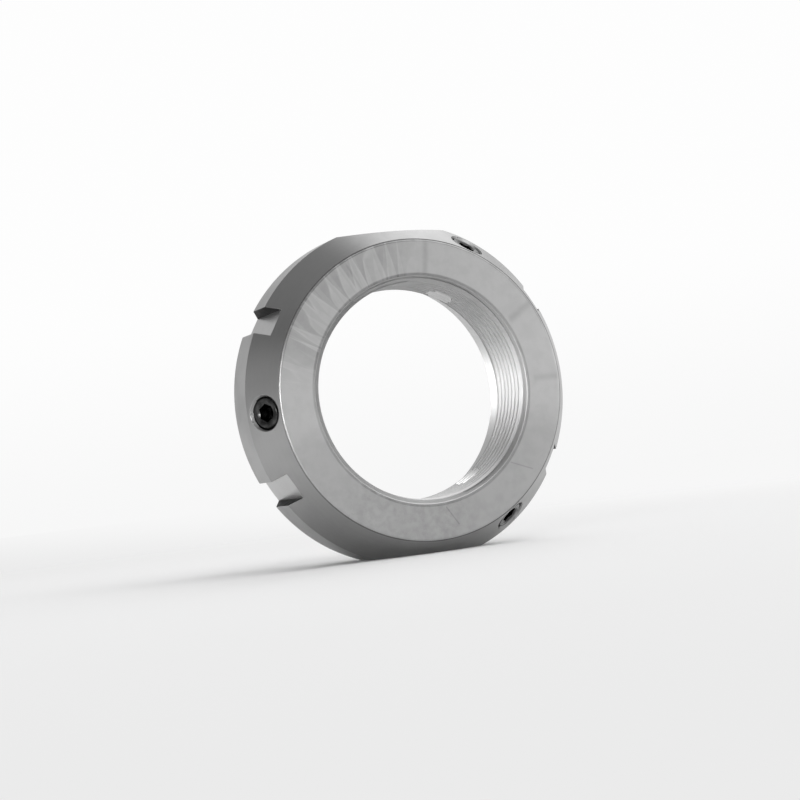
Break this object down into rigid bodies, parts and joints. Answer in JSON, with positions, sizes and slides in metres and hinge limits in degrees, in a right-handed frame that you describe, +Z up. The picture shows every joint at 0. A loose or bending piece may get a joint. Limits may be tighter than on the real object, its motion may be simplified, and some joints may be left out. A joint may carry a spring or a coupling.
{
  "type": "bearing lock nut",
  "caption": "Steel shaft nut with a coned front, hook spanner slots, spanner flats, a fine internal thread and inclined grub screws that press locking pins on the shaft's thread.",
  "frame": {"origin": "on the thread axis, half way through the nut's width", "axes": "+Y along the thread axis, towards the bearing; +Z up, square to the spanner flats; the cone with the screws faces -Y"},
  "size_m": [0.085, 0.025, 0.08],
  "materials": {
    "turned_steel": "turned and milled, bare",
    "black_steel": "black oxide",
    "pin_steel": "ground, bare"
  },
  "bodies": {
    "nut": {"nut_body": "turned_steel"},
    "locking_pin_1": {"locking_pin_1": "pin_steel"},
    "grub_screw_1": {"grub_screw_1": "black_steel"},
    "locking_pin_2": {"locking_pin_2": "pin_steel"},
    "grub_screw_2": {"grub_screw_2": "black_steel"},
    "locking_pin_3": {"locking_pin_3": "pin_steel"},
    "grub_screw_3": {"grub_screw_3": "black_steel"}
  },
  "joints": [
    {"name": "pin_1_slide", "type": "slide", "parent": "nut", "child": "locking_pin_1", "axis": [-0.4012, 0.5, -0.7675], "range_m": [-0.005, 0.0005]},
    {"name": "screw_1_turn", "type": "hinge", "parent": "locking_pin_1", "child": "grub_screw_1", "pos_m": [0.01842, -0.00774, 0.03522], "axis": [-0.4012, 0.5, -0.7675], "range_deg": [-1440, 144]},
    {"name": "pin_2_slide", "type": "slide", "parent": "nut", "child": "locking_pin_2", "axis": [0.8653, 0.5, 0.0363], "range_m": [-0.005, 0.0005]},
    {"name": "screw_2_turn", "type": "hinge", "parent": "locking_pin_2", "child": "grub_screw_2", "pos_m": [-0.03971, -0.00774, -0.00166], "axis": [0.8653, 0.5, 0.0363], "range_deg": [-1440, 144]},
    {"name": "pin_3_slide", "type": "slide", "parent": "nut", "child": "locking_pin_3", "axis": [-0.464, 0.5, 0.7312], "range_m": [-0.005, 0.0005]},
    {"name": "screw_3_turn", "type": "hinge", "parent": "locking_pin_3", "child": "grub_screw_3", "pos_m": [0.0213, -0.00774, -0.03356], "axis": [-0.464, 0.5, 0.7312], "range_deg": [-1440, 144]}
  ],
  "couplings": [
    {"joint": "screw_1_turn", "follows": "pin_1_slide", "rad_per_m": 5026.5},
    {"joint": "screw_2_turn", "follows": "pin_2_slide", "rad_per_m": 5026.5},
    {"joint": "screw_3_turn", "follows": "pin_3_slide", "rad_per_m": 5026.5}
  ]
}
